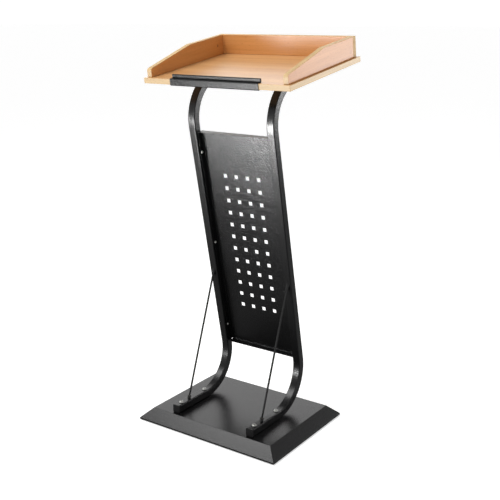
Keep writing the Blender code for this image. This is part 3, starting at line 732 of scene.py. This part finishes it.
def makePlate(node, corners, low, high, edge, mapping, finish, steps=4):
    # The outline carried over a rounded edge: mapping says which way the thickness runs
    area = np.array(corners, float)
    turnWay = np.sum(area[:, 0] * np.roll(area[:, 1], -1) - area[:, 1] * np.roll(area[:, 0], -1))
    outline, normals = filleted(corners if turnWay > 0 else corners[::-1], steps)
    points = mapping(carried(outline, normals, roundedEdge(low, high, edge)))
    rows, columns = points.shape[:2]
    piece = makePiece(node, points, ringFaces(rows, columns), finish)
    polygons, finishes = piece.data.polygons, len(piece.data.materials)
    if finishes > 1:  # the edge strip runs between the two rounded edges
        ring = np.repeat(np.arange(rows - 1), columns)
        band = np.zeros(len(polygons), np.int32)
        band[:len(ring)] = (ring > 1) & (ring < rows - 3)
        if finishes > 2:  # the short sides have a strip of their own
            band[:len(ring)] *= 1 + (np.abs(np.tile(normals[:, 0], rows - 1)) > squareOn)
        polygons.foreach_set("material_index", band)


def makeTray(board, settings):
    halfX, (_, deep, thick) = board["board"][0] / 2, board["board"]
    makePlate("tray_board", rectangle(-halfX, 0, halfX, deep, board["corner"]), -thick, 0.0,
              board["round"], onTray, (beechLong, beechEdgeLong, beechEdgeShort))
    front, tall = settings["back"] - settings["thick"], settings["height"]
    corner, wide = settings["corner"], settings["x"]
    outline = [(settings["start"], gap, corner), (front - gap, gap, corner),
               (front - gap, tall, corner), (settings["bend"], tall, settings["bendRadius"]),
               (settings["start"], settings["frontHeight"], settings["noseRadius"])]
    for side, x in sides:
        low, high = sorted((x * wide, x * (wide - settings["thick"])))
        makePlate(f"side_fence_{side}", outline, low, high, settings["round"], acrossTray,
                  (beechSide, beechEdgeSide), settings["steps"])
    makePlate("back_fence", rectangle(-wide, gap, wide, tall, corner), front, settings["back"],
              settings["round"], alongTray, (beechBack, beechEdgeLong))


def makeStop(settings):
    # From the flange under the board round its front edge to the doubled upstand and back
    sheet, fold, crease = settings["sheet"], settings["fold"], settings["crease"]
    flange, flangeEnd = settings["flange"], settings["flangeEnd"]
    top, hem, (hemFront, hemBack) = settings["top"], settings["hemRound"], settings["hem"]
    outline = [(flange, underBoard, flangeEnd), (-gap, underBoard, crease), (-gap, gap, crease),
               (hemBack, gap, fold), (hemBack, top, hem), (hemFront, top, hem),
               (hemFront, gap + sheet, crease), (-gap - sheet, gap + sheet, fold),
               (-gap - sheet, underBoard - sheet, fold), (flange, underBoard - sheet, flangeEnd)]
    makePlate("book_stop", outline, -settings["half"], settings["half"], settings["end"],
              acrossTray, powderStop, settings["steps"])


def makeDowels(settings):
    # A turned pin with a recessed drive, its head level with the fence's inner face
    radius, proud = settings["radius"], settings["proud"]
    drive = radius * settings["drive"]
    rows = [(drive, -settings["depth"], 1), (drive, proud, 1), (radius - ease, proud),
            (radius, -settings["rim"]), (radius, -settings["length"])]
    for side, x in sides:
        inner = x * (fence["x"] - fence["thick"])
        makeTurned(f"corner_dowel_{side}", rows, onTray((inner, settings["along"], settings["height"])),
                   (-x, 0, 0), darkSteel, columns=settings["columns"])


# Screws: what they join names them; places are along and across the leg or the tray

screws = {
    "panel": {"head": 0.0040, "tall": 0.0026, "shank": 0.0020, "length": 0.0120},
    "tray": {"head": 0.0050, "tall": 0.0034, "shank": 0.0025, "length": 0.0370},
    "fence": {"head": 0.0042, "tall": 0.0027, "shank": 0.0022, "length": 0.0383},
    "stop": {"head": 0.0038, "tall": 0.0025, "shank": 0.0018, "length": 0.0125},
    "corner": {"head": 0.0042, "tall": 0.0026, "shank": 0.0025, "length": 0.0500}}
screwShape = {"crown": (0.55, 0.3), "drive": 0.40, "floor": 0.35, "round": 0.0002, "pitch": 0.0011,
              "plain": 0.001, "point": 0.0015, "tip": 0.3, "rim": 0.0001, "steps": 6,
              "columns": 36}
screwAt = {"panelOff": -0.0005, "panelAlong": (("low", -0.3515), ("mid", -0.054), ("high", 0.2435)),
           "trayAlong": (("front", 0.215), ("rear", 0.310)),
           "fenceAlong": (("front", 0.060), ("rear", 0.250)),
           "fenceX": 0.233, "stop": (0.110, 0.016), "corner": (0.231, 0.380, 0.0305)}


def screwProfile(settings, shape):
    # Drive socket, domed head, thread and a blunt tip
    head, tall, shank, length = (settings[key] for key in ("head", "tall", "shank", "length"))
    drive, edge = head * shape["drive"], shape["round"]
    rows = [(drive, tall * shape["floor"], 1), (drive, tall - edge, 1), (drive + edge, tall, 1)]
    rows += domed(head, tall, shape["crown"], shape["steps"])
    rows += [(head, shape["rim"]), (shank, 0.0)]
    rows += threaded(shank, -shape["plain"], shape["point"] - length, shape["pitch"])
    return rows + [(shank * shape["tip"], -length)]


def makeScrews(settings, shape, at):
    upTray = onTray((0, 0, 1)) - onTray((0, 0, 0))
    backTray = onTray((0, 1, 0)) - onTray((0, 0, 0))

    def screw(kind, place, origin, axis):
        makeTurned(f"{kind}_screw_{place}", screwProfile(settings[kind], shape), origin, axis,
                   zinc, columns=shape["columns"])

    for side, x in sides:
        head = x * (panel["half"] - panel["sheet"] - gap)
        for level, along in at["panelAlong"]:
            screw("panel", f"{level}_{side}", onLeg((head, at["panelOff"], along)), (-x, 0, 0))
        for end, along in at["trayAlong"]:
            screw("tray", f"{end}_{side}", onTray((x * legX, along, underRun - gap)), -upTray)
        for end, along in at["fenceAlong"]:
            screw("fence", f"{end}_{side}", onTray((x * at["fenceX"], along, underBoard)), -upTray)
        across, along = at["stop"]
        screw("stop", side, onTray((x * across, along, underBoard - stop["sheet"] - gap)), -upTray)
        across, along, height = at["corner"]
        screw("corner", side, onTray((x * across, along + gap, height)), backTray)


makePanel(panel)
makeTray(tray, fence)
makeStop(stop)
makeDowels(dowel)
makeScrews(screws, screwShape, screwAt)
print("panel, tray and fittings made")


# Floor, light and camera

studio = {"floor": (0.92, 0.92, 0.92), "floorRough": 0.9, "floorSpecular": 0.1, "lift": 0.45,
          "reach": 90.0, "drop": 0.0004,
          "sky": [(-0.16, 0.32), (-0.01, 1.06), (0.26, 1.0), (0.50, 0.50)], "skyTop": 2.0,
          "boxes": {
              "key": {"spot": (-1.2, -1.3, 3.4), "aim": (0, -0.1, 0.8), "size": (2.2, 2.2),
                      "glow": 4.9, "soft": True},
              "side": {"spot": (2.6, 0.1, 0.75), "aim": (0, 0, 0.95), "size": (1.2, 1.0),
                       "glow": 1.4, "soft": True},
              "high front": {"spot": (-2.3, -1.4, 3.2), "aim": (0, -0.1, 0.1), "size": (1.5, 1.5),
                             "glow": 4.8, "soft": False},
              "low front": {"spot": (-2.28, -4.34, 0.02), "turn": -38, "size": (1.2, 6.3),
                            "glow": 97.0, "soft": False},
              "back right": {"spot": (2.95, 4.65, 0.85), "aim": (0.1, 0, 1.0), "size": (1.8, 0.85),
                             "glow": 9.5, "soft": False},
              "back left": {"spot": (-1.75, 2.4, 1.85), "aim": (0, 0, 0.5), "size": (2.2, 2.0),
                            "glow": 1.15, "soft": False}}}


def makeFloor(settings):
    # Seen from above only, so that the underside can be looked at too
    reach, level = settings["reach"], -settings["drop"]
    mesh = bpy.data.meshes.new("floor")
    mesh.from_pydata([(-reach, -reach, level), (reach, -reach, level), (reach, reach, level),
                      (-reach, reach, level)], [], [(0, 1, 2, 3)])
    floor = bpy.data.objects.new("floor", mesh)
    bpy.context.scene.collection.objects.link(floor)
    surface, tree, shader = nodeTree("pale floor")
    shader.inputs["Base Color"].default_value = (*settings["floor"], 1)
    shader.inputs["Roughness"].default_value = settings["floorRough"]
    shader.inputs["Specular IOR Level"].default_value = settings["floorSpecular"]
    shader.inputs["Emission Color"].default_value = (*white, 1)
    shader.inputs["Emission Strength"].default_value = settings["lift"]
    clear = tree.nodes.new("ShaderNodeBsdfTransparent")
    either = tree.nodes.new("ShaderNodeMixShader")
    facing = tree.nodes.new("ShaderNodeNewGeometry")
    tree.links.new(facing.outputs["Backfacing"], either.inputs["Fac"])
    tree.links.new(shader.outputs["BSDF"], either.inputs[1])
    tree.links.new(clear.outputs["BSDF"], either.inputs[2])
    tree.links.new(either.outputs["Shader"], tree.nodes["Material Output"].inputs["Surface"])
    mesh.materials.append(surface)
    floor.visible_glossy = False


def makeSoftbox(name, box):
    # Its power is its brightness times pi times its area; one that isn't soft only
    # gives reflections
    light = bpy.data.lights.new(name, "AREA")
    light.shape = "RECTANGLE"
    light.size, light.size_y = box["size"]
    light.energy = box["glow"] * math.pi * light.size * light.size_y
    lamp = bpy.data.objects.new(name, light)
    bpy.context.scene.collection.objects.link(lamp)
    lamp.visible_camera, lamp.visible_diffuse = False, box["soft"]
    lamp.location = box["spot"]
    if "turn" in box:  # lies flat and shines up
        lamp.rotation_euler = (math.pi, 0, math.radians(box["turn"]))
    else:
        way = Vector(box["aim"]) - Vector(box["spot"])
        lamp.rotation_euler = way.to_track_quat("-Z", "Y").to_euler()


def makeSky(settings):
    # Brightness by height: dim under the horizon, bright along it, softer overhead. A
    # ramp's colours stop at one, so it holds shares of the brightest level allowed.
    world = bpy.data.worlds.new("studio")
    bpy.context.scene.world = world
    world.use_nodes = True
    tree = world.node_tree
    split = tree.nodes.new("ShaderNodeSeparateXYZ")
    height = tree.nodes.new("ShaderNodeMapRange")
    height.inputs["From Min"].default_value = -1.0
    tree.links.new(tree.nodes.new("ShaderNodeTexCoord").outputs["Generated"], split.inputs[0])
    tree.links.new(split.outputs["Z"], height.inputs["Value"])
    brightest = settings["skyTop"]
    glow = ramp(tree, height.outputs["Result"],
                [((z + 1) / 2, (level / brightest,) * 3) for z, level in settings["sky"]])
    tree.links.new(glow, tree.nodes["Background"].inputs["Color"])
    tree.nodes["Background"].inputs["Strength"].default_value = brightest


camera = {"location": (1.4363, -2.0510, 1.2355), "pitch": 15.43, "yaw": 34.74, "lens": 61.45,
          "sensor": 36.0}


def makeCamera(settings):
    data = bpy.data.cameras.new("camera")
    data.lens, data.sensor_width = settings["lens"], settings["sensor"]
    view = bpy.data.objects.new("camera", data)
    bpy.context.scene.collection.objects.link(view)
    view.location = settings["location"]
    view.rotation_euler = (math.radians(90 - settings["pitch"]), 0, math.radians(settings["yaw"]))
    bpy.context.scene.camera = view


makeFloor(studio)
makeSky(studio)
for name, box in studio["boxes"].items():
    makeSoftbox(name, box)
makeCamera(camera)
print("studio ready")
